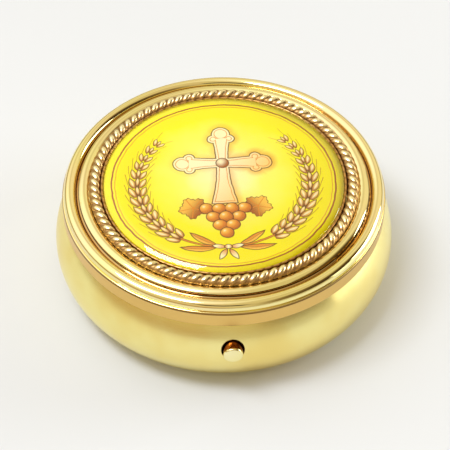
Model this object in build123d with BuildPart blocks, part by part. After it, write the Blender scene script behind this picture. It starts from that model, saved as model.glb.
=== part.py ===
from build123d import *
import math
import os

os.makedirs("parts", exist_ok=True)

# Driving dimensions, in millimetres. The origin is the middle of the flat underside,
# +Z is up, the push button faces -Y and the hinge is at +Y.

# Collar, the ring that stands up inside the lid's skirt and sets the main diameter
collar_radius = 28.85
collar_wall = 0.6
collar_rise = 2.5
collar_depth = 1.85
collar_flange_thickness = 0.2
solder_gap = 0.02

# Bowl, a bellied shell with a flat underside
bowl_wall = 0.7
lip_width = 0.5
belly_bulge = 2.55
belly_height = 8.2
shoulder_rise = 7.35
foot_inset = 4.9
foot_round = 0.8
hole_round = 0.12

# Inner cup, the smooth chamber that hangs on the collar
cup_wall = 0.5
cup_flange_thickness = 0.45
cup_floor_gap = 0.9
cup_corner = 2.5
cup_rim_round = 0.8

# Lid shell: skirt, outer roll, stepped cove and inner band
lid_gap = 0.15
lid_play = 0.35
skirt_wall = 0.8
head_gap = 0.25
lid_wall = 0.6
liner_thickness = 0.4
liner_bead_inset = 3.0
liner_bead_radius = 0.9
liner_bead_rise = 0.3
skirt_edge_round = 0.3
hem_round = 0.2
groove_depth = 0.4
groove_drop = 0.5
roll_radius = 1.15
cove_drop = 0.1
step_radius = 0.5
step_gap = 0.05
band_width = 1.75
band_rise = 0.95
band_crown = 0.3

# Medallion: twisted rope border, bezel tray, printed disc and clear dome
rope_radius = 1.1
rope_twists = 44
rope_wrap = 25.0
rope_core_drop = 0.15
rope_gap = 0.05
tray_wall = 0.45
tray_floor = 0.4
tray_rise = 1.75
disc_thickness = 1.0
disc_gap = 0.05
dome_edge = 0.3
dome_drop = 0.75
dome_shoulder = 2.6
dome_crown = 0.12
dome_edge_round = 0.15

# Push button and latch
button_radius = 1.75
button_play = 0.25
button_headroom = 0.95
button_proud = 1.3
button_crown = 0.3
tail_radius = 0.6
tail_play = 0.05
tail_head_radius = 1.0
tail_head_thickness = 0.35
catch_width = 5.0
catch_thickness = 0.45
catch_play = 0.2
catch_foot = 1.3
catch_bar = 1.0
catch_corner = 0.7
window_height = 1.3
window_width = 3.4
leaf_thickness = 0.35
leaf_width = 5.0
leaf_play = 0.2
leaf_room = 2.0
leaf_foot = 4.0
leaf_bend = 2.5
leaf_bend_round = 1.0
nose_round = 0.4
nose_width = 2.8
nose_play = 0.2

# Hinge
barrel_radius = 1.2
barrel_gap = 0.1
pin_radius = 0.6
pin_play = 0.05
pin_head = 0.3
lid_knuckle = 5.2
base_knuckle = 3.2
knuckle_gap = 0.2
leaf_plate = 0.6
base_plate_height = 2.1
base_plate_gap = 0.4
lid_plate_height = 1.4
lid_plate_gap = 0.3

# Worked-out sizes

# Base
shoulder_radius = collar_radius + lip_width
belly_radius = shoulder_radius + belly_bulge
foot_radius = belly_radius - foot_inset
shoulder_height = belly_height + shoulder_rise
collar_inner = collar_radius - collar_wall
collar_top = shoulder_height + collar_rise
collar_bottom = shoulder_height - collar_depth
upper_arc = (shoulder_rise**2 + belly_bulge**2) / (2 * belly_bulge)
lower_arc = (belly_height**2 + foot_inset**2) / (2 * foot_inset)
upper_centre = belly_radius - upper_arc
lower_centre = belly_radius - lower_arc


def belly_at(height, inset=0.0):
    """Radius of the bowl's upper wall at a height, inset from its outside."""
    return upper_centre + math.sqrt((upper_arc - inset) ** 2 - (height - belly_height) ** 2)


# Lid
parting = shoulder_height + collar_flange_thickness + lid_gap
skirt_inner = collar_radius + lid_play
skirt_radius = skirt_inner + skirt_wall
liner_bottom = collar_top + cup_flange_thickness + head_gap
ceiling = liner_bottom + liner_thickness
seat = ceiling + lid_wall
groove_height = seat - groove_drop
roll_centre = skirt_radius - groove_depth - math.sqrt(roll_radius**2 - groove_drop**2)
cove_height = seat - cove_drop
cove_radius = roll_centre - math.sqrt(roll_radius**2 - cove_drop**2)
step_outer = cove_radius - step_gap
band_outer = step_outer - step_radius - step_gap
band_inner = band_outer - band_width
band_edge = seat + band_rise
rope_centre = band_inner - rope_gap - rope_radius
rope_height = seat + rope_radius
tray_radius = rope_centre - rope_radius - rope_gap
disc_radius = tray_radius - tray_wall - disc_gap
disc_bottom = seat + tray_floor
disc_top = disc_bottom + disc_thickness

# Latch
button_height = collar_bottom - button_headroom - button_radius
button_face = belly_at(button_height) + button_proud
catch_face = math.sqrt((collar_inner - catch_play) ** 2 - (catch_width / 2) ** 2)
catch_back = catch_face - catch_thickness
catch_bottom = button_height + button_radius + catch_play
window_bottom = catch_bottom + catch_bar
leaf_face = catch_back - leaf_play
leaf_middle = leaf_face - leaf_thickness / 2
leaf_back = leaf_face - leaf_thickness
nose_height = window_bottom + nose_play + leaf_thickness / 2
nose_tip = catch_face - nose_play
cup_outer = leaf_back - leaf_room
cup_inner = cup_outer - cup_wall
cup_flange_top = collar_top + cup_flange_thickness
cup_floor = bowl_wall + cup_floor_gap
slot_inner = catch_back - catch_foot - catch_play
slot_width = catch_width + 2 * catch_play

# Hinge
hinge_y = skirt_radius + barrel_gap + barrel_radius
hinge_width = lid_knuckle + 2 * (base_knuckle + knuckle_gap)
base_knuckle_x = (lid_knuckle + base_knuckle) / 2 + knuckle_gap
base_plate_top = parting - barrel_radius - base_plate_gap
base_plate_bottom = base_plate_top - base_plate_height
lid_plate_bottom = parting + barrel_radius + lid_plate_gap
lid_plate_top = lid_plate_bottom + lid_plate_height


def rear_plane(angle):
    """Upright plane through the main axis, turned by an angle in degrees from the rear."""
    turn = math.radians(angle)
    across = (math.sin(turn), math.cos(turn), 0)
    return Plane(origin=(0, 0, 0), x_dir=across, z_dir=(math.cos(turn), -math.sin(turn), 0))


def plate_angle(radius):
    """Half the angle that the hinge's width covers on a circle."""
    return math.degrees(math.asin(hinge_width / 2 / radius))


# Bowl: revolved belly of two arcs that meet upright at the widest circle
lower_inner = lower_arc - bowl_wall
upper_inner = upper_arc - bowl_wall
mouth = collar_radius + solder_gap
floor_edge = lower_centre + math.sqrt(lower_inner**2 - (belly_height - bowl_wall) ** 2)
mouth_bottom = belly_height + math.sqrt(upper_inner**2 - (mouth - upper_centre) ** 2)
with BuildPart() as base_shell:
    with BuildSketch(Plane.XZ):
        with BuildLine():
            Line((0, 0), (foot_radius, 0))
            TangentArc((belly_radius, belly_height), (foot_radius, 0), tangent=(0, -1))
            TangentArc(
                (belly_radius, belly_height), (shoulder_radius, shoulder_height), tangent=(0, 1)
            )
            Line((shoulder_radius, shoulder_height), (mouth, shoulder_height))
            Line((mouth, shoulder_height), (mouth, mouth_bottom))
            TangentArc(
                (belly_radius - bowl_wall, belly_height), (mouth, mouth_bottom), tangent=(0, 1)
            )
            TangentArc(
                (belly_radius - bowl_wall, belly_height), (floor_edge, bowl_wall), tangent=(0, -1)
            )
            Line((floor_edge, bowl_wall), (0, bowl_wall))
            Line((0, bowl_wall), (0, 0))
        make_face()
    revolve(axis=Axis.Z)
    fillet(base_shell.edges().group_by(Axis.Z)[0].sort_by(SortBy.LENGTH)[-1], foot_round)
    with BuildSketch(Plane.XZ.offset(leaf_face)):
        with Locations((0, button_height)):
            Circle(button_radius + button_play)
    extrude(amount=belly_radius - leaf_face, mode=Mode.SUBTRACT)
    fillet(base_shell.edges(Select.LAST).sort_by(Axis.Y)[0], hole_round)
base_shell.part.label = "base_shell"
export_step(base_shell.part, "parts/base_shell.step")

# Collar: upright ring in the bowl's mouth, with a narrow flange that rests on the lip
with BuildPart() as base_collar:
    with BuildSketch(Plane.XZ):
        with Locations((collar_inner, collar_bottom)):
            Rectangle(collar_wall, collar_top - collar_bottom, align=(Align.MIN, Align.MIN))
        with Locations((collar_inner, shoulder_height)):
            Rectangle(
                collar_wall + lip_width, collar_flange_thickness, align=(Align.MIN, Align.MIN)
            )
    revolve(axis=Axis.Z)
base_collar.part.label = "base_collar"
export_step(base_collar.part, "parts/base_collar.step")

# Inner cup: drawn cup with a flat flange on the collar and a slot for the lid's catch
with BuildPart() as inner_cup:
    with BuildSketch(Plane.XZ):
        with BuildLine():
            cup_wall_line = FilletPolyline(
                (0, cup_floor),
                (cup_outer, cup_floor),
                (cup_outer, collar_top),
                radius=cup_corner,
            )
            Polyline(
                cup_wall_line @ 1,
                (collar_radius, collar_top),
                (collar_radius, cup_flange_top),
                (cup_inner + cup_rim_round, cup_flange_top),
            )
            RadiusArc(
                (cup_inner + cup_rim_round, cup_flange_top),
                (cup_inner, cup_flange_top - cup_rim_round),
                -cup_rim_round,
            )
            cup_inside_line = FilletPolyline(
                (cup_inner, cup_flange_top - cup_rim_round),
                (cup_inner, cup_floor + cup_wall),
                (0, cup_floor + cup_wall),
                radius=cup_corner - cup_wall,
            )
            Line(cup_inside_line @ 1, cup_wall_line @ 0)
        make_face()
    revolve(axis=Axis.Z)
    with BuildSketch(Plane.XY.offset(collar_top)):
        with Locations((0, -(slot_inner + collar_inner) / 2)):
            Rectangle(slot_width, collar_inner - slot_inner)
    extrude(amount=cup_flange_thickness, mode=Mode.SUBTRACT)
inner_cup.part.label = "inner_cup"
export_step(inner_cup.part, "parts/inner_cup.step")

# Latch spring: flat strip with its foot on the bowl's floor, standing up behind the button,
# and a narrow nose bent outwards into the catch's window
foot_height = bowl_wall + leaf_thickness / 2
bend_foot = -(leaf_middle - leaf_bend)
with BuildPart() as latch_spring:
    with BuildSketch(Plane.YZ):
        with BuildLine() as leaf_line:
            FilletPolyline(
                (bend_foot + leaf_foot, foot_height),
                (bend_foot, foot_height),
                (-leaf_middle, foot_height + leaf_bend),
                (-leaf_middle, nose_height),
                (-nose_tip, nose_height),
                radius=(leaf_bend_round, leaf_bend_round, nose_round),
            )
        trace(line_width=leaf_thickness)
    extrude(amount=leaf_width / 2, both=True)
    with BuildSketch(Plane.XZ.offset(leaf_face)):
        for side in (-1, 1):
            with Locations((side * (nose_width / 2 + leaf_width / 4), nose_height)):
                Rectangle(leaf_width / 2, leaf_thickness * 2)
    extrude(amount=collar_radius - leaf_face, mode=Mode.SUBTRACT)
    with BuildSketch(Plane.XZ.offset(leaf_back)):
        with Locations((0, button_height)):
            Circle(tail_radius + tail_play)
    extrude(amount=leaf_thickness, mode=Mode.SUBTRACT)
latch_spring.part.label = "latch_spring"
export_step(latch_spring.part, "parts/latch_spring.step")

# Push button: round head through the bowl's wall, its tail riveted through the spring
with BuildPart() as push_button:
    with BuildSketch(Plane.XZ.offset(leaf_face)):
        with Locations((0, button_height)):
            Circle(button_radius)
    extrude(amount=button_face - leaf_face)
    fillet(push_button.edges().sort_by(Axis.Y)[0], button_crown)
    with BuildSketch(Plane.XZ.offset(leaf_back)):
        with Locations((0, button_height)):
            Circle(tail_radius)
    extrude(amount=leaf_thickness)
    with BuildSketch(Plane.XZ.offset(leaf_back - tail_head_thickness)):
        with Locations((0, button_height)):
            Circle(tail_head_radius)
    extrude(amount=tail_head_thickness)
push_button.part.label = "push_button"
export_step(push_button.part, "parts/push_button.step")

# Lid shell: skirt, groove, outer roll, stepped cove, inner band and the medallion's seat
roll_start = (skirt_radius - groove_depth, groove_height)
with BuildPart() as lid_shell:
    with BuildSketch(Plane.XZ):
        with BuildLine():
            Line((0, seat), (band_inner, seat))
            Line((band_inner, seat), (band_inner, band_edge))
            ThreePointArc(
                (band_inner, band_edge),
                ((band_inner + band_outer) / 2, band_edge + band_crown),
                (band_outer, band_edge),
            )
            Polyline(
                (band_outer, band_edge),
                (band_outer, cove_height + step_radius),
                (step_outer - step_radius, cove_height + step_radius),
            )
            RadiusArc(
                (step_outer - step_radius, cove_height + step_radius),
                (step_outer, cove_height),
                step_radius,
            )
            Line((step_outer, cove_height), (cove_radius, cove_height))
            ThreePointArc(
                (cove_radius, cove_height), (roll_centre, seat + roll_radius), roll_start
            )
            Line(roll_start, (skirt_radius - skirt_edge_round, groove_height))
            RadiusArc(
                (skirt_radius - skirt_edge_round, groove_height),
                (skirt_radius, groove_height - skirt_edge_round),
                skirt_edge_round,
            )
            Line((skirt_radius, groove_height - skirt_edge_round), (skirt_radius, parting + hem_round))
            RadiusArc(
                (skirt_radius, parting + hem_round), (skirt_radius - hem_round, parting), hem_round
            )
            Polyline(
                (skirt_radius - hem_round, parting),
                (skirt_inner, parting),
                (skirt_inner, ceiling),
                (0, ceiling),
                (0, seat),
            )
        make_face()
    revolve(axis=Axis.Z)
lid_shell.part.label = "lid_shell"
export_step(lid_shell.part, "parts/lid_shell.step")

# Lid liner: plain disc under the lid's ceiling, with one pressed bead round its edge
liner_radius = skirt_inner - solder_gap
bead_middle = liner_radius - liner_bead_inset
with BuildPart() as lid_liner:
    with BuildSketch(Plane.XZ):
        with BuildLine():
            Polyline(
                (bead_middle - liner_bead_radius, liner_bottom),
                (0, liner_bottom),
                (0, ceiling),
                (liner_radius, ceiling),
                (liner_radius, liner_bottom),
                (bead_middle + liner_bead_radius, liner_bottom),
            )
            ThreePointArc(
                (bead_middle + liner_bead_radius, liner_bottom),
                (bead_middle, liner_bottom + liner_bead_rise),
                (bead_middle - liner_bead_radius, liner_bottom),
            )
        make_face()
    revolve(axis=Axis.Z)
lid_liner.part.label = "lid_liner"
export_step(lid_liner.part, "parts/lid_liner.step")

# Lid catch: hanging tongue with a window for the spring's nose, and a foot on the liner
with BuildPart() as lid_catch:
    with BuildSketch(Plane.XZ.offset(catch_back)):
        with Locations((0, (catch_bottom + liner_bottom) / 2)):
            tongue = Rectangle(catch_width, liner_bottom - catch_bottom)
        fillet(tongue.vertices().group_by(Axis.Y)[0], catch_corner)
        with Locations((0, window_bottom + window_height / 2)):
            Rectangle(window_width, window_height, mode=Mode.SUBTRACT)
    extrude(amount=catch_thickness)
    with BuildSketch(Plane.XY.offset(liner_bottom - catch_thickness)):
        with Locations((0, -(catch_back - catch_foot / 2))):
            Rectangle(catch_width, catch_foot)
    extrude(amount=catch_thickness)
lid_catch.part.label = "lid_catch"
export_step(lid_catch.part, "parts/lid_catch.step")

# Medallion tray: shallow bezel cup inside the rope
tray_inner = tray_radius - tray_wall
with BuildPart() as medallion_tray:
    with BuildSketch(Plane.XZ):
        with BuildLine():
            Polyline(
                (0, seat),
                (tray_radius, seat),
                (tray_radius, seat + tray_rise - tray_wall / 2),
            )
            ThreePointArc(
                (tray_radius, seat + tray_rise - tray_wall / 2),
                (tray_radius - tray_wall / 2, seat + tray_rise),
                (tray_inner, seat + tray_rise - tray_wall / 2),
            )
            Polyline(
                (tray_inner, seat + tray_rise - tray_wall / 2),
                (tray_inner, disc_bottom),
                (0, disc_bottom),
                (0, seat),
            )
        make_face()
    revolve(axis=Axis.Z)
medallion_tray.part.label = "medallion_tray"
export_step(medallion_tray.part, "parts/medallion_tray.step")

# Picture disc: printed metal disc in the tray
with BuildPart() as picture_disc:
    with BuildSketch(Plane.XY.offset(disc_bottom)):
        Circle(disc_radius)
    extrude(amount=disc_thickness)
picture_disc.part.label = "picture_disc"
export_step(picture_disc.part, "parts/picture_disc.step")

# Clear dome: cast resin over the printed disc, nearly flat, with a shoulder that rolls down
# to a thin edge
shoulder_top = disc_top + dome_edge + dome_drop
with BuildPart() as clear_dome:
    with BuildSketch(Plane.XZ):
        with BuildLine():
            crown_line = TangentArc(
                (0, shoulder_top + dome_crown),
                (disc_radius - dome_shoulder, shoulder_top),
                tangent=(1, 0),
            )
            TangentArc(
                crown_line @ 1, (disc_radius, disc_top + dome_edge), tangent=crown_line % 1
            )
            Polyline(
                (disc_radius, disc_top + dome_edge),
                (disc_radius, disc_top),
                (0, disc_top),
                crown_line @ 0,
            )
        make_face()
    revolve(axis=Axis.Z)
    rim_edges = clear_dome.edges().group_by(SortBy.LENGTH)[-1]
    fillet(rim_edges.sort_by(Axis.Z)[-1], dome_edge_round)
clear_dome.part.label = "clear_dome"
export_step(clear_dome.part, "parts/clear_dome.step")

# Rope border: two strands twisted round each other. Each half turn of a strand comes over
# the top of a low core ring as an arched lobe that leans along the ring.
strand_radius = rope_radius / 2
twist_length = 2 * math.pi * rope_centre / rope_twists
lobe_reach = strand_radius * math.cos(math.radians(rope_wrap))
lobe_drop = strand_radius * math.sin(math.radians(rope_wrap))
lobe_lean = twist_length * (180 + 2 * rope_wrap) / 360 / 2
with BuildPart() as rope_lobe:
    with BuildLine() as lobe_line:
        ThreePointArc(
            (rope_centre + lobe_reach, -lobe_lean, rope_height - lobe_drop),
            (rope_centre, 0, rope_height + strand_radius),
            (rope_centre - lobe_reach, lobe_lean, rope_height - lobe_drop),
        )
    with BuildSketch(Plane(origin=lobe_line.line @ 0, z_dir=lobe_line.line % 0)):
        Circle(strand_radius)
    sweep()
with BuildPart() as rope_border:
    with BuildSketch(Plane.XZ):
        with Locations((rope_centre, seat)):
            Rectangle(
                2 * rope_radius - 2 * rope_gap,
                rope_radius - rope_core_drop,
                align=(Align.CENTER, Align.MIN),
            )
    revolve(axis=Axis.Z)
    with PolarLocations(0, 2 * rope_twists):
        add(rope_lobe.part)
rope_border.part.label = "rope_border"
export_step(rope_border.part, "parts/rope_border.step")

# Hinge base leaf: curved plate on the bowl's shoulder with two outer knuckles
web_inner = hinge_y - barrel_radius
web_outer = belly_at(base_plate_bottom) + leaf_plate
base_plate_angle = plate_angle(belly_radius)
with BuildPart() as hinge_base_leaf:
    with BuildSketch(rear_plane(-base_plate_angle)):
        with BuildLine():
            Polyline(
                (belly_at(base_plate_top), base_plate_top),
                (belly_at(base_plate_top) + leaf_plate, base_plate_top),
                (web_outer, base_plate_bottom),
                (belly_at(base_plate_bottom), base_plate_bottom),
                (belly_at(base_plate_top) - leaf_plate, base_plate_top - leaf_plate),
                close=True,
            )
        make_face()
    revolve(axis=Axis.Z, revolution_arc=-2 * base_plate_angle)
    for side in (-1, 1):
        with BuildSketch(Plane.YZ.offset(side * base_knuckle_x)):
            with Locations((web_inner, base_plate_bottom)):
                Rectangle(
                    web_outer - web_inner,
                    parting - base_plate_bottom,
                    align=(Align.MIN, Align.MIN),
                )
            with Locations((hinge_y, parting)):
                Circle(barrel_radius)
                Circle(pin_radius, mode=Mode.SUBTRACT)
        extrude(amount=base_knuckle / 2, both=True)
    with BuildSketch(Plane.XZ):
        with BuildLine():
            Line((0, 0), (foot_radius, 0))
            TangentArc((belly_radius, belly_height), (foot_radius, 0), tangent=(0, -1))
            TangentArc(
                (belly_radius, belly_height), (shoulder_radius, shoulder_height), tangent=(0, 1)
            )
            Polyline((shoulder_radius, shoulder_height), (0, shoulder_height), (0, 0))
        make_face()
    revolve(axis=Axis.Z, mode=Mode.SUBTRACT)
hinge_base_leaf.part.label = "hinge_base_leaf"
export_step(hinge_base_leaf.part, "parts/hinge_base_leaf.step")

# Hinge lid leaf: curved plate on the skirt with the middle knuckle
lid_plate_angle = plate_angle(skirt_radius)
with BuildPart() as hinge_lid_leaf:
    with BuildSketch(rear_plane(-lid_plate_angle)):
        with Locations((skirt_radius - leaf_plate, lid_plate_bottom)):
            Rectangle(2 * leaf_plate, lid_plate_height, align=(Align.MIN, Align.MIN))
    revolve(axis=Axis.Z, revolution_arc=-2 * lid_plate_angle)
    with BuildSketch(Plane.YZ):
        with Locations((skirt_radius - leaf_plate, parting)):
            Rectangle(
                2 * leaf_plate, lid_plate_top - parting, align=(Align.MIN, Align.MIN)
            )
        with Locations((hinge_y, parting)):
            Circle(barrel_radius)
            Circle(pin_radius + pin_play, mode=Mode.SUBTRACT)
    extrude(amount=lid_knuckle / 2, both=True)
    with BuildSketch(Plane.XY.offset(parting - barrel_radius)):
        Circle(skirt_radius)
    extrude(amount=barrel_radius + lid_plate_top - parting, mode=Mode.SUBTRACT)
hinge_lid_leaf.part.label = "hinge_lid_leaf"
export_step(hinge_lid_leaf.part, "parts/hinge_lid_leaf.step")

# Hinge pin: straight wire through the three knuckles, peened at both ends
with BuildPart() as hinge_pin:
    with BuildSketch(Plane.YZ):
        with Locations((hinge_y, parting)):
            Circle(pin_radius)
    extrude(amount=hinge_width / 2 + pin_head, both=True)
    fillet(hinge_pin.edges().filter_by(GeomType.CIRCLE), pin_head)
hinge_pin.part.label = "hinge_pin"
export_step(hinge_pin.part, "parts/hinge_pin.step")
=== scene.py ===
"""Dresses a round gold-plated pyx: its metal finishes, rope border, printed medallion and studio."""
import math

import bmesh
import bpy
from mathutils import Matrix, Vector


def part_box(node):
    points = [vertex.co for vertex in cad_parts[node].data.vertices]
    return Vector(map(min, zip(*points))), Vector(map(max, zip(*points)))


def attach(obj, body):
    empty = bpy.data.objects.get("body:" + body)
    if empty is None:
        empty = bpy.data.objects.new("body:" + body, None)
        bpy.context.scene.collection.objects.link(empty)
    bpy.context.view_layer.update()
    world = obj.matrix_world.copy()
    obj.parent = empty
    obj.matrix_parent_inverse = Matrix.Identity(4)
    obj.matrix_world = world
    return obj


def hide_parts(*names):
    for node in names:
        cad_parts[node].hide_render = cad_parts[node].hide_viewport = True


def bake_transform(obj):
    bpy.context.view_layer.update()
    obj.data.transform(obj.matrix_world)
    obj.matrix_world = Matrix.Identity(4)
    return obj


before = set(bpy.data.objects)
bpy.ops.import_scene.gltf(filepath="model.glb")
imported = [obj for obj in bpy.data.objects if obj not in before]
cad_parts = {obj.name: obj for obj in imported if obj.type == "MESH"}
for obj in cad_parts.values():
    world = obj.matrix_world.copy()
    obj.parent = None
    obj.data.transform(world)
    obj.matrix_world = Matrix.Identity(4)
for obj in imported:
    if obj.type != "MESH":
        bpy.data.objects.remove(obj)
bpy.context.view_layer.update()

MM = 0.001
BODY_LID = "lid"


# Shader arithmetic


class Wire:
    """A shader socket that takes part in Python arithmetic and adds nodes to its tree."""

    def __init__(self, tree, socket=None):
        self.tree = tree
        self.socket = socket

    def node(self, kind, settings=None, inputs=None, output=0):
        """Adds a node, sets it up, feeds its inputs and returns one of its outputs."""
        made = self.tree.nodes.new("ShaderNode" + kind)
        for name, value in (settings or {}).items():
            if name == "stops":
                fill_ramp(made.color_ramp, value)
            else:
                setattr(made, name, value)
        for key, value in (inputs or {}).items():
            if isinstance(value, Wire):
                self.tree.links.new(value.socket, made.inputs[key])
            else:
                made.inputs[key].default_value = value
        return Wire(self.tree, made.outputs[output] if made.outputs else None)

    def math(self, operation, *others):
        return self.node("Math", {"operation": operation}, dict(enumerate((self, *others))))

    def __add__(self, other):
        return self.math("ADD", other)

    __radd__ = __add__

    def __sub__(self, other):
        return self.math("SUBTRACT", other)

    def __rsub__(self, other):
        return self.node("Math", {"operation": "SUBTRACT"}, {0: other, 1: self})

    def __mul__(self, other):
        return self.math("MULTIPLY", other)

    __rmul__ = __mul__

    def __truediv__(self, other):
        return self.math("DIVIDE", other)

    def __pow__(self, other):
        return self.math("POWER", other)

    def __abs__(self):
        return self.math("ABSOLUTE")

    def ramp(self, low, high, start=0.0, end=1.0):
        """Goes smoothly from start to end while this value goes from low to high."""
        return self.node(
            "MapRange",
            {"interpolation_type": "SMOOTHSTEP"},
            {0: self, 1: low, 2: high, 3: start, 4: end},
        )

    def tint(self, under, over):
        """A colour that goes from under to over as this mask goes from 0 to 1."""
        return self.node("Mix", {"data_type": "RGBA"}, {0: self, 6: under, 7: over}, output=2)


def fill_ramp(color_ramp, stops):
    """Sets a colour ramp's stops, given as pairs of place and colour."""
    while len(color_ramp.elements) < len(stops):
        color_ramp.elements.new(0.5)
    for element, (place, colour) in zip(color_ramp.elements, stops):
        element.position = place
        element.color = colour


def paint(red, green, blue):
    """A colour in linear light from its values as seen on a screen, 0 to 255."""
    linear = []
    for level in (red, green, blue):
        share = level / 255
        linear.append(share / 12.92 if share <= 0.04045 else ((share + 0.055) / 1.055) ** 2.4)
    return (*linear, 1.0)


def new_material(name):
    """An empty node material and its first wire."""
    material = bpy.data.materials.new(name)
    material.use_nodes = True
    material.node_tree.nodes.clear()
    return material, Wire(material.node_tree)


def show(material, shader):
    """Joins a shader to the material's output."""
    shader.node("OutputMaterial", None, {"Surface": shader})
    return material


def object_place(start):
    """Object coordinates as a vector wire, and x, y and z in millimetres."""
    place = start.node("TexCoord", output="Object")
    axes = [place.node("SeparateXYZ", None, {0: place}, output=axis) * (1 / MM) for axis in "XYZ"]
    return place, axes


def noise(place, scale, detail=2.0, roughness=0.5):
    """Noise from 0 to 1 on a place, with scale in waves per metre."""
    inputs = {"Vector": place, "Scale": scale, "Detail": detail, "Roughness": roughness}
    return place.node("TexNoise", None, inputs, output="Fac")


# Sizes of the pieces, in millimetres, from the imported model

_, lid_high = (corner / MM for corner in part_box("lid_shell"))
_, liner_high = (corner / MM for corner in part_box("lid_liner"))
tray_low, tray_high = (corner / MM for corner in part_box("medallion_tray"))
rope_low, rope_high = (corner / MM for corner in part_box("rope_border"))
dome_low, dome_high = (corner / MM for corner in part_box("clear_dome"))
button_low, button_high = (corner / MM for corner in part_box("push_button"))

BUTTON_RADIUS = button_high.x
BUTTON_HEIGHT = (button_low.z + button_high.z) / 2
BUTTON_FACE = button_low.y

SEAT = tray_low.z
SKIRT_TOP = SEAT - 0.5
SKIRT_INNER = liner_high.x
# Rings of the lid that get painted shade in their hollows, as radius, height and width
SHADED_COVE = (lid_high.x - 2.85, SEAT + 0.15, 0.9)
SHADED_GROOVES = (
    (lid_high.x, SEAT - 0.8, 0.32),
    (lid_high.x - 2.52, SEAT - 0.1, 0.38),
    (lid_high.x - 3.18, SEAT + 0.4, 0.32),
)

# The lay, the core's height and its flank are shares of the rope's radius
ROPE_TWISTS = 44
ROPE_GAP = 0.05
ROPE_STEPS = 28
ROPE_SIDES = 16
ROPE_LAY = 0.38
ROPE_CORE = 0.74
ROPE_FLANK = 0.92
ROPE_RADIUS = (rope_high.z - rope_low.z) / 2
ROPE_RING = tray_high.x + ROPE_GAP + ROPE_RADIUS
ROPE_HEIGHT = (rope_low.z + rope_high.z) / 2


# Metal finishes

PALE_GOLD = paint(249, 237, 160)
BRIGHT_GOLD = paint(251, 231, 170)
# Painted highlight on the rope's crest, then painted shade between its strands, darkest at the crest
ROPE_HIGHLIGHT_GOLD = paint(253, 241, 194)
STRAND_GAP_SHADE = paint(172, 132, 82)
STRAND_GAP_DARK_SHADE = paint(40, 20, 6)
BUTTON_GOLD = paint(253, 243, 190)
# Painted shade on the button's side
BUTTON_SIDE_SHADE = paint(150, 84, 32)
# Painted shade inside the button's hole
HOLE_SHADE_BROWN = paint(120, 60, 20)
DEEP_GOLD = paint(242, 219, 132)
# The satin skirt's tan, partly its own tone and partly painted shade
SKIRT_TAN_AND_SHADE = paint(228, 190, 110)
# Painted shade in the lid's cove and grooves, and in the strokes on the tray's rim
COVE_SHADE = paint(206, 160, 102)
GROOVE_SHADE = paint(88, 50, 18)
# Painted shade on the rope's flanks and on the tray's rim
FLANK_SHADE_TAN = paint(202, 162, 100)
BEZEL_BROWN = paint(190, 140, 76)
LINING_GOLD = paint(244, 226, 158)
SPRING_GREY = paint(196, 193, 186)
SPRING_SHADE = paint(150, 146, 138)
BOWL_BRUSHED = 0.75
PATCH_WAVES = 90
SLOW_WAVES = 220
SCUFF_WAVES = 2600
LINES_PER_MM = 5.0
HOLE_EDGE = 0.3
HOLE_FADE = 0.42
FRONT_WALL = (-25.0, -27.0)
SKIRT_SATIN = 0.24
# Share of painted shade in the cove and the grooves
GROOVE_SHADE_SHARE = 0.9
ROPE_CREST = (0.66, 0.95)
ROPE_VALLEY = (1.02, 1.18)
ROPE_SATIN = 0.34
BUTTON_EDGE = (0.3, 0.55)


def gold_finish(name, pale, deep, polish, satin, wave):
    """Gold plate with soft patches of colour, turned polishing lines and a hand-polished wave.

    polish and satin are the least and most roughness, wave the depth of the bump in metres.
    """
    material, start = new_material(name)
    place, (x, y, z) = object_place(start)
    radius = (x * x + y * y) ** 0.5
    patches = noise(place, PATCH_WAVES, 3.0)
    lines = radius.node(
        "TexNoise",
        {"noise_dimensions": "1D"},
        {"W": (radius + z) * LINES_PER_MM, "Scale": 1.0, "Detail": 2.0},
        output="Fac",
    )
    scuffs = noise(place, SCUFF_WAVES, 3.0, 0.7)
    colour = patches.ramp(0.3, 0.75).tint(pale, deep)
    rough = polish + (satin - polish) * (0.5 * patches + 0.3 * lines + 0.2 * scuffs)
    slow = noise(place, SLOW_WAVES, 1.0)
    normal = place.node(
        "Bump", None, {"Strength": 1.0, "Distance": wave, "Height": slow + 0.03 * lines}, output="Normal"
    )
    return material, start, (radius, z), colour, rough, normal


def metal(start, colour, rough, normal, brushed=0.0):
    """A metal shader with these wires, and the share by which lines round the axis stretch its gloss."""
    inputs = {"Base Color": colour, "Metallic": 1.0, "Roughness": rough, "Normal": normal}
    inputs.update({"Anisotropic": brushed, "Anisotropic Rotation": 0.25})
    return start.node("BsdfPrincipled", None, inputs)


def ring_mask(radius, z, ring_radius, ring_height, width):
    """1 on a circle round the axis, fading to 0 at a width from it, all in millimetres."""
    across = radius - ring_radius
    above = z - ring_height
    reach = (across * across + above * above) ** 0.5
    return reach.ramp(0.0, width, 1.0, 0.0)


def make_bowl_gold():
    """Bright satin plate of the bowl, with painted shade inside the button's hole."""
    material, start, (_, z), colour, rough, normal = gold_finish(
        "bowl_gold", PALE_GOLD, DEEP_GOLD, 0.16, 0.30, 2e-6
    )
    _, (x, y, _) = object_place(start)
    from_button = (x * x + (z - BUTTON_HEIGHT) * (z - BUTTON_HEIGHT)) ** 0.5
    # Painted shade inside the button's hole, on the bowl's front wall
    hole_shade = from_button.ramp(BUTTON_RADIUS + HOLE_EDGE, BUTTON_RADIUS + HOLE_FADE, 0.85, 0.0)
    colour = (hole_shade * y.ramp(*FRONT_WALL)).tint(colour, HOLE_SHADE_BROWN)
    return show(material, metal(start, colour, rough, normal, BOWL_BRUSHED))


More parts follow.
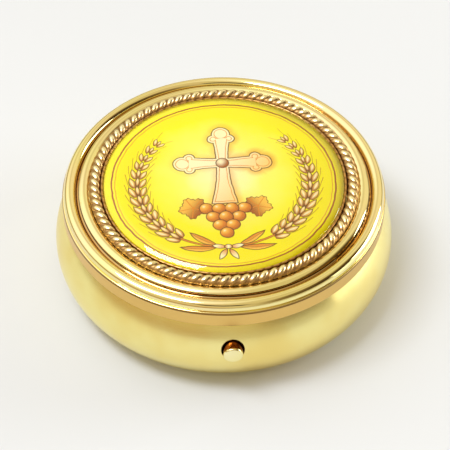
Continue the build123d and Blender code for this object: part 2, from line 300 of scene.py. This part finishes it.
def make_lid_gold():
    """Polished mouldings over a satin skirt whose tan is partly painted shade, with painted shade in the
    cove and the grooves.
    """
    material, start, (radius, z), colour, rough, normal = gold_finish(
        "lid_gold", BRIGHT_GOLD, PALE_GOLD, 0.03, 0.1, 2e-6
    )
    skirt = z.ramp(SKIRT_TOP - 0.1, SKIRT_TOP, 1.0, 0.0) * radius.ramp(SKIRT_INNER, SKIRT_INNER + 0.3)
    # Tan of the satin skirt, partly its own tone and partly painted shade
    colour = skirt.tint(colour, SKIRT_TAN_AND_SHADE)
    rough = rough + SKIRT_SATIN * skirt
    # Painted shade in the cove and the grooves
    colour = (GROOVE_SHADE_SHARE * ring_mask(radius, z, *SHADED_COVE)).tint(colour, COVE_SHADE)
    for groove in SHADED_GROOVES:
        colour = (GROOVE_SHADE_SHARE * ring_mask(radius, z, *groove)).tint(colour, GROOVE_SHADE)
    return show(material, metal(start, colour, rough, normal))


def make_button_gold():
    """Pale plate on the button's face, with painted shade on its side."""
    material, start, _, colour, rough, normal = gold_finish(
        "button_gold", BUTTON_GOLD, PALE_GOLD, 0.12, 0.24, 1e-6
    )
    _, (_, y, _) = object_place(start)
    # Painted shade on the button's side, back from its face
    side = (y - BUTTON_FACE).ramp(*BUTTON_EDGE)
    return show(material, metal(start, side.tint(colour, BUTTON_SIDE_SHADE), rough, normal))


def make_bright_gold():
    """Polished plate of the collar, the hinge and the catch."""
    material, start, _, colour, rough, normal = gold_finish(
        "bright_gold", BRIGHT_GOLD, PALE_GOLD, 0.06, 0.14, 1e-6
    )
    return show(material, metal(start, colour, rough, normal))


def make_rope_gold():
    """Rope plate with a painted highlight on its crest, painted shade on its flanks and darker painted
    shade between its strands.
    """
    material, start, (radius, z), colour, rough, normal = gold_finish(
        "rope_gold", ROPE_HIGHLIGHT_GOLD, BRIGHT_GOLD, 0.05, 0.12, 1e-6
    )
    across = radius - ROPE_RING
    above = z - ROPE_HEIGHT
    flat = across / (ROPE_FLANK * ROPE_RADIUS)
    tall = above / (ROPE_CORE * ROPE_RADIUS)
    reach = (flat * flat + tall * tall) ** 0.5
    crest = (above / ROPE_RADIUS).ramp(*ROPE_CREST)
    # Painted highlight on the crest, painted shade on the flanks and between the strands
    colour = crest.tint(FLANK_SHADE_TAN, colour)
    valley_shade = crest.tint(STRAND_GAP_SHADE, STRAND_GAP_DARK_SHADE)
    colour = reach.ramp(*ROPE_VALLEY, 0.95, 0.0).tint(colour, valley_shade)
    rough = rough + (1 - crest) * ROPE_SATIN
    return show(material, metal(start, colour, rough, normal))


def make_bezel_gold():
    """Tray's rim in tan, which is painted shade, with dark strokes of painted shade that carry on the
    rope's strands.
    """
    material, start, (radius, _), colour, rough, normal = gold_finish(
        "bezel_gold", FLANK_SHADE_TAN, BEZEL_BROWN, 0.24, 0.4, 1e-6
    )
    _, (x, y, _) = object_place(start)
    lobes = 2 * ROPE_TWISTS * y.math("ARCTAN2", x) + radius * (2 / ROPE_RADIUS)
    # Dark strokes of painted shade, like the gaps between the rope's strands
    stroke_shade = lobes.math("SINE").ramp(0.1, 0.9, 0.0, 0.5)
    return show(material, metal(start, stroke_shade.tint(colour, GROOVE_SHADE), rough, normal))


def make_lining_gold():
    """Satin plate inside the box."""
    material, start, _, colour, rough, normal = gold_finish(
        "lining_gold", LINING_GOLD, DEEP_GOLD, 0.20, 0.36, 2e-6
    )
    return show(material, metal(start, colour, rough, normal))


def make_spring_steel():
    """Rolled spring strip with lines along its length."""
    material, start = new_material("spring_steel")
    place, _ = object_place(start)
    drawn = place.node("Mapping", None, {"Vector": place, "Scale": (9000, 300, 300)})
    lines = noise(drawn, 1.0, 3.0)
    colour = lines.ramp(0.3, 0.8).tint(SPRING_GREY, SPRING_SHADE)
    inputs = {"Strength": 0.4, "Distance": 2e-6, "Height": lines}
    normal = place.node("Bump", None, inputs, output="Normal")
    return show(material, metal(start, colour, 0.18 + 0.2 * lines, normal))


# Pieces


def make_piece(name, form, scale=1.0, smooth_angle=180.0):
    """A mesh object at the origin from a finished bmesh, which is freed."""
    bmesh.ops.scale(form, vec=(scale,) * 3, verts=form.verts)
    for face in form.faces:
        face.smooth = True
    for edge in form.edges:
        edge.smooth = edge.calc_face_angle(0.0) < math.radians(smooth_angle)
    mesh = bpy.data.meshes.new(name)
    form.to_mesh(mesh)
    form.free()
    piece = bpy.data.objects.new(name, mesh)
    bpy.context.scene.collection.objects.link(piece)
    return piece


# Rope border


def twisted_rope():
    """Ring of two strands twisted round each other, each a tube drawn along its lay, on an oval core."""
    ring, height = ROPE_RING, ROPE_HEIGHT
    lay = ROPE_LAY * ROPE_RADIUS
    strand = ROPE_RADIUS - lay
    pitch = 2 * math.pi / ROPE_TWISTS

    def section(share, phase):
        """Place of the strand's round section at a share of one twist."""
        angle = 2 * math.pi * share + phase
        out = Vector((math.cos(angle), 0, math.sin(angle)))
        turn = lay * ROPE_TWISTS
        run = Vector((-turn * out.z, ring + lay * out.x, turn * out.x)).normalized()
        axes = Matrix((out, run.cross(out), run)).transposed().to_4x4()
        centre = Matrix.Translation(Vector((ring, 0, height)) + lay * out)
        return Matrix.Rotation(pitch * share, 4, "Z") @ centre @ axes

    form = bmesh.new()
    for phase in (0.0, math.pi):
        place = section(0, phase)
        made = bmesh.ops.create_circle(form, segments=ROPE_SIDES, radius=strand, matrix=place)
        edges = list({edge for vert in made["verts"] for edge in vert.link_edges})
        for step in range(1, ROPE_STEPS + 1):
            following = section(step / ROPE_STEPS, phase)
            made = bmesh.ops.extrude_edge_only(form, edges=edges)["geom"]
            verts = [part for part in made if isinstance(part, bmesh.types.BMVert)]
            edges = [part for part in made if isinstance(part, bmesh.types.BMEdge)]
            bmesh.ops.transform(form, matrix=following @ place.inverted(), verts=verts)
            place = following
    bmesh.ops.spin(
        form,
        geom=form.verts[:] + form.edges[:] + form.faces[:],
        cent=(0, 0, 0),
        axis=(0, 0, 1),
        angle=2 * math.pi - pitch,
        steps=ROPE_TWISTS - 1,
        use_duplicate=True,
    )
    bmesh.ops.remove_doubles(form, verts=form.verts, dist=0.01)
    centre = Matrix.Translation((ring, 0, height)) @ Matrix.Rotation(math.pi / 2, 4, "X")
    oval = Matrix.Diagonal((ROPE_FLANK, ROPE_CORE, 1, 1))
    made = bmesh.ops.create_circle(
        form, segments=2 * ROPE_SIDES, radius=ROPE_RADIUS, matrix=centre @ oval
    )
    edges = list({edge for vert in made["verts"] for edge in vert.link_edges})
    bmesh.ops.spin(
        form,
        geom=made["verts"] + edges,
        cent=(0, 0, 0),
        axis=(0, 0, 1),
        angle=2 * math.pi,
        steps=4 * ROPE_TWISTS,
        use_merge=True,
    )
    bmesh.ops.recalc_face_normals(form, faces=form.faces)
    return make_piece("rope", form, MM)


# Latch spring

SPRING_CUTS = 14
SPRING_FOOT = 2.0


def bending_spring():
    """Copy of the latch spring, divided along its height from above its foot to the button's middle, and
    those two places.
    """
    low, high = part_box("latch_spring")
    press_low, press_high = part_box("push_button")
    bend_start = low.z + SPRING_FOOT * MM
    bend_end = (press_low.z + press_high.z) / 2
    form = bmesh.new()
    form.from_mesh(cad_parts["latch_spring"].data)
    bmesh.ops.remove_doubles(form, verts=form.verts, dist=1e-7)
    for cut in range(SPRING_CUTS + 1):
        height = bend_start + (bend_end - bend_start) * cut / SPRING_CUTS
        bmesh.ops.bisect_plane(
            form,
            geom=form.verts[:] + form.edges[:] + form.faces[:],
            plane_co=(0, 0, height),
            plane_no=(0, 0, 1),
        )
    piece = make_piece("spring_leaf", form, smooth_angle=35.0)
    middle = (low + high) / 2
    return piece, (0, middle.y, bend_start), (0, middle.y, bend_end)


# Printed medallion, in millimetres on the disc

INK_DARK = paint(92, 46, 12)
INK_BROWN = paint(166, 88, 20)
INK_ORANGE = paint(222, 136, 34)
INK_AMBER = paint(246, 196, 84)
INK_CREAM = paint(255, 247, 218)
GROUND_GLOW = paint(255, 250, 206)
GROUND_PALE = paint(254, 246, 124)
GROUND_YELLOW = paint(248, 241, 8)
GROUND_EDGE = paint(248, 236, 4)

PRINT_RADIUS = 22.3
PRINT_SWAY = 0.35
GLOW_RISE = 2.0
CLOUD_REACH = 7.0
BORDER_RADIUS = 20.75
BORDER_GAP = 0.62
WREATH_RADIUS = 16.0
STEM_HALF = 0.24
EAR_START = 8.6
EAR_LENGTH = 29.0
GRAIN_PITCH = 2.25
SIDE_GRAIN = (1.62, 0.66)
SIDE_GRAIN_OFF = 0.98
SIDE_GRAIN_LEAN = 24
MIDDLE_GRAIN = (1.3, 0.52)
AWN_OFF = 1.1
AWN_LEAN = 17
AWN_END = 4.6
BLADE = (3.3, 0.72)
BLADE_MIDDLE = 5.0
BLADE_LEAN = 15
# Loops of the bow, as middle, height, lean and half length
BOW_LOOPS = ((0.95, -1.75, -58, 1.5), (1.55, 0.1, 12, 1.45))
KNOT_RADIUS = 0.62
GRAPE_RADIUS = 1.36
GRAPES = ((3.5, -6.6), (1.17, -6.6), (2.35, -8.65), (0.0, -8.65), (1.17, -10.7), (0.0, -12.6))
GRAPE_STOPS = ((0.0, INK_CREAM), (0.2, INK_AMBER), (0.55, INK_ORANGE), (1.0, INK_BROWN))
CROSS_TOP = 12.2
CROSS_FOOT = -5.5
CROSS_BAR = 5.0
CROSS_REACH = 7.0
CROSS_HALF = 1.25
BUD_BEYOND = 0.5
BUD_RADIUS = 1.85
SIDE_BUD_RADIUS = 1.15
SIDE_BUD_OFF = 1.5
SIDE_BUD_BACK = -1.3
BOSS_RADIUS = 1.3
LEAF_PLACE = (5.9, -6.3)
LEAF_LEAN = -14
LEAF_RADIUS = 2.15
LEAF_LOBES = 0.62
LEAF_TEETH = 0.12


def turned(along, across, degrees):
    """Coordinates on axes turned by an angle."""
    c, s = math.cos(math.radians(degrees)), math.sin(math.radians(degrees))
    return along * c + across * s, across * c - along * s


def circle(along, across, radius):
    """Distance outside a circle round the origin."""
    return (along * along + across * across) ** 0.5 - radius


def pod(along, across, half_length, half_width):
    """Distance outside a pointed grain that lies along the first axis."""
    offset = (half_length**2 - half_width**2) / (2 * half_width)
    return circle(along, abs(across) + offset, offset + half_width)


def both(first, second):
    """Distance outside the area that two shapes share."""
    return first.math("MAXIMUM", second)


def either(first, second):
    """Distance outside the area of two shapes together."""
    return first.math("MINIMUM", second)


def ink(under, shape, colour, blur=0.07):
    """Prints a shape, given as a distance, over what is under it."""
    return shape.ramp(-blur, blur, 1.0, 0.0).tint(under, colour)


def outlined(under, shape, colour, line=0.16):
    """Prints a shape with a dark outline."""
    return ink(ink(under, shape, INK_DARK), shape + line, colour)


def print_ground(x, y, place):
    """Yellow ground, pale in the middle, with faint clouds."""
    radius = circle(x, y - GLOW_RISE, 0.0)
    clouds = noise(place, 170, 3.0)
    reach = (radius + CLOUD_REACH * (clouds - 0.5)) / PRINT_RADIUS
    stops = ((0.08, GROUND_GLOW), (0.36, GROUND_PALE), (0.68, GROUND_YELLOW), (1.0, GROUND_EDGE))
    return reach.node("ValToRGB", {"stops": stops}, {0: reach})


def print_border(under, x, y):
    """Fine double line near the edge."""
    rim = circle(x, y, BORDER_RADIUS)
    under = ink(under, abs(rim) - 0.16, INK_BROWN)
    return ink(under, abs(rim + BORDER_GAP) - 0.07, INK_ORANGE)


def grain(under, along, across, half_length, half_width):
    """One outlined grain, dark at its foot and pale at its tip."""
    body = (along / half_length).ramp(-1.0, 0.7).tint(INK_BROWN, INK_AMBER)
    body = ink(body, pod(along - 0.25, across, half_length * 0.62, half_width * 0.3), INK_CREAM, 0.2)
    return outlined(under, pod(along, across, half_length, half_width), body)


def print_wheat(under, side, y):
    """A wreath of two ears of wheat that rise from the foot of the picture."""
    sweep = side.math("ARCTAN2", 0 - y)
    along = sweep * WREATH_RADIUS - EAR_START
    across = circle(side, y, WREATH_RADIUS)
    stem = both(abs(across) - STEM_HALF, along - 1.0)
    under = outlined(under, stem, INK_ORANGE, 0.1)
    cell = (along / GRAIN_PITCH).math("FLOOR")
    layers = []
    for back in (0, 1, 2):
        middle = (cell + (0.5 - back)) * GRAIN_PITCH
        room = both(0 - middle, middle - EAR_LENGTH)
        size = middle.ramp(EAR_LENGTH * 0.45, EAR_LENGTH, 1.0, 0.62)
        layers.append((room, (along - middle) / size, across / size))
    for room, u, v in layers:
        awn_u, awn_v = turned(u, abs(v) - AWN_OFF, AWN_LEAN)
        awn = both(both(abs(awn_v) - 0.05, awn_u - AWN_END), 0.8 - awn_u)
        under = ink(under, both(awn, room), INK_BROWN, 0.05)
    for room, u, v in layers[:2]:
        grain_u, grain_v = turned(u, abs(v) - SIDE_GRAIN_OFF, SIDE_GRAIN_LEAN)
        printed = grain(under, grain_u, grain_v, *SIDE_GRAIN)
        under = room.ramp(-0.01, 0.01, 1.0, 0.0).tint(under, printed)
    for room, u, v in layers[:2]:
        printed = grain(under, u - 0.4, v, *MIDDLE_GRAIN)
        under = room.ramp(-0.01, 0.01, 1.0, 0.0).tint(under, printed)
    return under


def print_stem_leaves(under, side, y):
    """Two long blades on each stem, and a bow that ties the stems."""
    arc = side.math("ARCTAN2", 0 - y) * WREATH_RADIUS
    across = circle(side, y, WREATH_RADIUS)
    for lean in (BLADE_LEAN, -BLADE_LEAN):
        u, v = turned(arc - BLADE_MIDDLE, across - 0.075 * lean, lean)
        body = v.ramp(-0.6, 0.6).tint(INK_ORANGE, INK_AMBER)
        body = ink(body, abs(v) - 0.05, INK_BROWN)
        under = outlined(under, pod(u, v, *BLADE), body)
    for middle, height, lean, length in BOW_LOOPS:
        u, v = turned(side - middle, y + WREATH_RADIUS - height, lean)
        body = (u / length).ramp(-1.0, 0.6).tint(INK_ORANGE, INK_CREAM)
        under = outlined(under, pod(u, v, length, 0.6), body)
    knot = circle(side / 1.25, y + WREATH_RADIUS, KNOT_RADIUS)
    return outlined(under, knot, side.ramp(0.0, 0.7).tint(INK_CREAM, INK_ORANGE))


def print_cross(under, x, side, y):
    """Budded cross in cream with a soft amber shade and a round boss."""
    mid = (CROSS_TOP + CROSS_FOOT) / 2
    up = abs(y - CROSS_BAR)
    flare = CROSS_HALF + 0.012 * up * up
    post = both(side - flare, abs(y - mid) - (CROSS_TOP - CROSS_FOOT) / 2)
    flare = CROSS_HALF + 0.016 * side * side
    arm = both(up - flare, side - CROSS_REACH)
    shape = either(post, arm)
    for bud_x, bud_y in ((0.0, CROSS_TOP + BUD_BEYOND), (CROSS_REACH + BUD_BEYOND, CROSS_BAR)):
        shape = either(shape, circle(side - bud_x, y - bud_y, BUD_RADIUS))
        for off in (-SIDE_BUD_OFF, SIDE_BUD_OFF):
            aside, above = (off, SIDE_BUD_BACK) if bud_x == 0 else (SIDE_BUD_BACK, off)
            lobe = circle(side - (bud_x + aside), y - (bud_y + above), SIDE_BUD_RADIUS)
            shape = either(shape, lobe)
    shadow = ink(under, shape - 0.7, INK_ORANGE, 0.8)
    under = x.ramp(-9, 9, 0.15, 0.6).tint(under, shadow)
    body = (0.4 * x - 0.25 * (y - CROSS_BAR)).ramp(-1.0, 6.0).tint(INK_CREAM, INK_AMBER)
    body = ink(body, abs(shape + 0.62) - 0.07, INK_ORANGE)
    under = outlined(under, shape, body, 0.2)
    boss = circle(x, y - CROSS_BAR, BOSS_RADIUS)
    body = circle(x + 0.4, y - CROSS_BAR - 0.4, 0.0).ramp(0.0, 1.6).tint(INK_CREAM, INK_BROWN)
    return outlined(under, boss, body)


def print_vine(under, x, side, y):
    """Vine leaves and a bunch of grapes at the foot of the cross."""
    u, v = turned(side - LEAF_PLACE[0], y - LEAF_PLACE[1], LEAF_LEAN)
    bearing = v.math("ARCTAN2", u)
    lobe = (2.5 * bearing).math("COSINE")
    edge = LEAF_RADIUS + LEAF_LOBES * lobe * lobe + LEAF_TEETH * (17 * bearing).math("COSINE")
    leaf = circle(u, v, 0.0) - edge
    body = (u + v).ramp(-2.6, 2.6).tint(INK_BROWN, INK_AMBER)
    vein = abs((2.5 * bearing).math("SINE")) * circle(u, v, 0.0) - 0.2
    body = ink(body, vein, INK_ORANGE, 0.12)
    under = outlined(under, leaf, body)
    sign = x.math("SIGN")
    for grape_x, grape_y in GRAPES:
        across = (side - grape_x) * sign if grape_x else x
        up = y - grape_y
        shade = circle(across + 0.45, up - 0.5, 0.0) / 2.0
        body = shade.node("ValToRGB", {"stops": GRAPE_STOPS}, {0: shade})
        under = outlined(under, circle(across, up, GRAPE_RADIUS), body)
    return under


def make_print():
    """Printed picture: a budded cross over grapes and vine leaves, in a wreath of wheat."""
    material, start = new_material("print")
    place, (x, y, _) = object_place(start)
    wobble = place.node("TexNoise", None, {"Vector": place, "Scale": 420, "Detail": 2.0}, output="Color")
    sway = [wobble.node("SeparateXYZ", None, {0: wobble}, output=axis) - 0.5 for axis in "XY"]
    x = x + PRINT_SWAY * sway[0]
    y = y + PRINT_SWAY * sway[1]
    side = abs(x)
    colour = print_ground(x, y, place)
    colour = print_border(colour, x, y)
    colour = print_wheat(colour, side, y)
    colour = print_stem_leaves(colour, side, y)
    colour = print_cross(colour, x, side, y)
    colour = print_vine(colour, x, side, y)
    speck = noise(place, 5200, 2.0)
    colour = (0.06 * speck.ramp(0.35, 0.75)).tint(colour, INK_CREAM)
    inputs = {"Base Color": colour, "Roughness": 0.45, "Specular IOR Level": 0.0}
    return show(material, start.node("BsdfPrincipled", None, inputs))


# Clear dome

DOME_EDGE = 0.3
DOME_SHOULDER = 2.6
DOME_CROWN = 0.12
DOME_BOND = 0.02
DOME_ROUND = 0.12
DOME_SIDES = 192
CROWN_STEPS = 10
SHOULDER_STEPS = 24
RESIN_IOR = 1.6


def spun_arc(form, vert, centre, angle, steps):
    """Draws an arc in the XZ plane from a vertex and returns its last vertex."""
    made = bmesh.ops.spin(
        form, geom=[vert], cent=centre, axis=(0, 1, 0), angle=angle, steps=steps
    )
    return next(part for part in made["geom_last"] if isinstance(part, bmesh.types.BMVert))


def domed_resin():
    """Closed dome: nearly flat crown, shoulder that rolls down, thin rounded edge and a flat back."""
    radius, apex = dome_high.x, dome_high.z
    flat = radius - DOME_SHOULDER
    bottom = dome_low.z + DOME_BOND
    edge = dome_low.z + DOME_EDGE
    crown_radius = (flat**2 + DOME_CROWN**2) / (2 * DOME_CROWN)
    crown_turn = math.asin(flat / crown_radius)
    down = Vector((-math.sin(crown_turn), 0, -math.cos(crown_turn)))
    step = Vector((radius - flat, 0, edge - (apex - DOME_CROWN)))
    shoulder_radius = step.length_squared / (2 * step.dot(down))
    shoulder_turn = 2 * math.asin(step.length / (2 * shoulder_radius))
    form = bmesh.new()
    vert = form.verts.new((0, 0, apex))
    vert = spun_arc(form, vert, (0, 0, apex - crown_radius), crown_turn, CROWN_STEPS)
    vert = spun_arc(form, vert, vert.co + shoulder_radius * down, shoulder_turn, SHOULDER_STEPS)
    for corner in ((radius, 0, bottom), (0, 0, bottom)):
        following = form.verts.new(corner)
        form.edges.new((vert, following))
        vert = following
    bmesh.ops.spin(
        form,
        geom=form.verts[:] + form.edges[:],
        cent=(0, 0, 0),
        axis=(0, 0, 1),
        angle=2 * math.pi,
        steps=DOME_SIDES,
        use_merge=True,
    )
    bmesh.ops.remove_doubles(form, verts=form.verts, dist=1e-4)
    bmesh.ops.recalc_face_normals(form, faces=form.faces)
    rim = [e for e in form.edges if all(abs(v.co.z - edge) < 1e-3 for v in e.verts)]
    bmesh.ops.bevel(
        form, geom=rim, offset=DOME_ROUND, segments=3, profile=0.5, affect="EDGES", material=-1
    )
    for face in form.faces:
        face.material_index = int(face.normal.z < -0.9)
    return make_piece("dome", form, MM, smooth_angle=50.0)


def make_resin():
    """Clear glossy resin that mirrors by its angle and lets the print's light through."""
    material, start = new_material("resin")
    place, _ = object_place(start)
    mirror = start.node("Fresnel", None, {"IOR": RESIN_IOR})
    smudge = noise(place, 160, 3.0)
    clear = start.node("BsdfTransparent", None, {"Color": paint(254, 253, 248)})
    gloss = start.node("BsdfGlossy", None, {"Roughness": 0.02, "Color": (1, 1, 1, 1)})
    share = mirror * smudge.ramp(0.2, 0.8, 0.92, 1.08)
    return show(material, start.node("MixShader", None, {0: share, 1: clear, 2: gloss}))


def make_bond():
    """Back of the resin, which is bonded to the print and mirrors nothing."""
    material, start = new_material("resin_bond")
    return show(material, start.node("BsdfTransparent", None, {"Color": (1, 1, 1, 1)}))


# Dressing


def dress(material, *nodes):
    """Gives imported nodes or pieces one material."""
    for node in nodes:
        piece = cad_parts[node] if isinstance(node, str) else node
        if piece.data.materials:
            piece.data.materials.clear()
        piece.data.materials.append(material)


dress(make_bowl_gold(), "base_shell")
dress(make_lid_gold(), "lid_shell")
dress(make_bright_gold(), "base_collar", "hinge_base_leaf", "hinge_lid_leaf", "hinge_pin", "lid_catch")
dress(make_bezel_gold(), "medallion_tray")
dress(make_button_gold(), "push_button")
dress(make_lining_gold(), "inner_cup", "lid_liner")
dress(make_print(), "picture_disc")

rope = twisted_rope()
dress(make_rope_gold(), rope)
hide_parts("rope_border")
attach(rope, BODY_LID)

dome = domed_resin()
dress(make_resin(), dome)
dome.data.materials.append(make_bond())
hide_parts("clear_dome")
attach(dome, BODY_LID)

spring, bend_start, bend_end = bending_spring()
dress(make_spring_steel(), spring)
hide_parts("latch_spring")
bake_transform(spring)


# Studio

CAMERA_AZIMUTH = -3.0
CAMERA_ELEVATION = 47.5
CAMERA_DISTANCE = 0.309
CAMERA_AIM = (0.00023, 0.0, 0.00937)
IMAGE_SIZE = 450
FOCAL_PIXELS = 1623
SENSOR_MM = 36.0

FLOOR_REACH = 3.0
FLOOR_PALE = paint(220, 222, 226)
FLOOR_SHADE = paint(216, 218, 222)

# Light of the walls and the horizon, before the strength
WALL_WARM = (1.3, 1.1, 0.74, 1)
WALL_SHADE = (0.45, 0.3, 0.13, 1)
WALL_DARK = (0.1, 0.05, 0.02, 1)
WALL_BACK = (1.75, 1.6, 1.2, 1)
WALL_PATCH = (1.45, 1.28, 0.92, 1)
PANEL_WHITE = (2.3, 2.3, 2.26, 1)
HORIZON_FRONT = (1.1, 0.98, 0.76, 1)
HORIZON_LEFT = (0.9, 0.58, 0.28, 1)
HORIZON_BACK = (0.86, 0.73, 0.48, 1)
LENS_DARK = (0.02, 0.015, 0.01, 1)
WORLD_STRENGTH = 0.54

# Softboxes, as name, the directions of both ends, width and radiance
SOFTBOX_DISTANCE = 0.5
SOFTBOX_TINT = (0.92, 0.96, 1.0)
SOFTBOXES = (
    ("long_softbox", (-0.54, 0.06, 0.83), (-0.17, -0.19, 0.96), 0.13, 13.0),
    ("right_softbox", (0.95, -0.05, 0.3), (0.82, 0.42, 0.38), 0.2, 7.0),
    ("low_softbox", (0.88, -0.42, 0.2), (0.96, -0.02, 0.2), 0.22, 1.2),
)


def make_floor():
    """Plain pale floor."""
    form = bmesh.new()
    bmesh.ops.create_grid(form, x_segments=1, y_segments=1, size=FLOOR_REACH)
    floor = make_piece("floor", form)
    material, start = new_material("pale_floor")
    place, _ = object_place(start)
    colour = noise(place, 3.0).ramp(0.2, 0.8).tint(FLOOR_SHADE, FLOOR_PALE)
    inputs = {"Base Color": colour, "Roughness": 0.8, "Specular IOR Level": 0.1}
    dress(show(material, start.node("BsdfPrincipled", None, inputs)), floor)


def make_world():
    """Soft studio: a white panel up at the left, a bright back wall and a shaded wall at the right front.

    The back wall is softer where the dome mirrors it, and a dark spot stands for the camera.
    """
    world = bpy.data.worlds.new("studio")
    world.use_nodes = True
    world.node_tree.nodes.clear()
    start = Wire(world.node_tree)
    way = start.node("TexCoord", output="Generated")
    across, along, up = (way.node("SeparateXYZ", None, {0: way}, output=axis) for axis in "XYZ")
    rise = math.radians(CAMERA_ELEVATION)
    right = across.ramp(0.0, 0.95) * along.ramp(0.25, 0.65, 1.0, 0.0)
    right = right * up.ramp(0.78, 0.9, 1.0, 0.0)
    walls = right.ramp(0.0, 0.55).tint(WALL_WARM, WALL_SHADE)
    walls = right.ramp(0.45, 1.0).tint(walls, WALL_DARK)
    walls = along.ramp(0.2, 0.6).tint(walls, WALL_BACK)
    from_mirror = (across * across + (along - math.cos(rise)) * (along - math.cos(rise))) ** 0.5
    walls = from_mirror.ramp(0.1, 0.3, 1.0, 0.0).tint(walls, WALL_PATCH)
    panel = (0.81 * up + 0.2 * along - 0.55 * across).ramp(0.7, 0.92)
    walls = panel.tint(walls, PANEL_WHITE)
    left_front = (0 - across - 0.15 * along).ramp(0.05, 0.45)
    horizon = left_front.tint(HORIZON_FRONT, HORIZON_LEFT)
    horizon = along.ramp(-0.35, 0.1).tint(horizon, HORIZON_BACK)
    colour = up.ramp(0.2, 0.32).tint(horizon, walls)
    level = abs(math.sin(rise) * along + math.cos(rise) * up).ramp(0.07, 0.17, 1.0, 0.0)
    lens = level * abs(across + 0.05).ramp(0.14, 0.28, 1.0, 0.0) * along.ramp(-0.3, -0.1, 1.0, 0.0)
    colour = lens.tint(colour, LENS_DARK)
    light = start.node("Background", None, {"Color": colour, "Strength": WORLD_STRENGTH})
    start.node("OutputWorld", None, {"Surface": light})
    bpy.context.scene.world = world


def make_softbox(name, near, far, width, radiance):
    """Long soft light that faces the object and reaches from one direction to another."""
    ends = [Vector(way).normalized() * SOFTBOX_DISTANCE for way in (near, far)]
    middle = (ends[0] + ends[1]) / 2
    side = (ends[1] - ends[0]).normalized()
    back = (middle - side * middle.dot(side)).normalized()
    light = bpy.data.lights.new(name, "AREA")
    light.color = SOFTBOX_TINT
    light.shape = "RECTANGLE"
    light.size = (ends[1] - ends[0]).length
    light.size_y = width
    light.energy = radiance * math.pi * light.size * light.size_y
    lamp = bpy.data.objects.new(name, light)
    lamp.location = middle
    lamp.rotation_euler = Matrix((side, back.cross(side), back)).transposed().to_euler()
    bpy.context.scene.collection.objects.link(lamp)


def make_camera():
    """Camera at the photograph's angle and distance."""
    camera = bpy.data.cameras.new("camera")
    camera.sensor_width = SENSOR_MM
    camera.lens = FOCAL_PIXELS / IMAGE_SIZE * SENSOR_MM
    camera.clip_start = 0.01
    eye = bpy.data.objects.new("camera", camera)
    turn, rise = math.radians(CAMERA_AZIMUTH), math.radians(CAMERA_ELEVATION)
    back = Vector((math.sin(turn) * math.cos(rise), -math.cos(turn) * math.cos(rise), math.sin(rise)))
    eye.location = Vector(CAMERA_AIM) + back * CAMERA_DISTANCE
    eye.rotation_euler = back.to_track_quat("Z", "Y").to_euler()
    bpy.context.scene.collection.objects.link(eye)
    bpy.context.scene.camera = eye


make_floor()
make_world()
for softbox in SOFTBOXES:
    make_softbox(*softbox)
make_camera()
bpy.context.scene.view_settings.view_transform = "Standard"
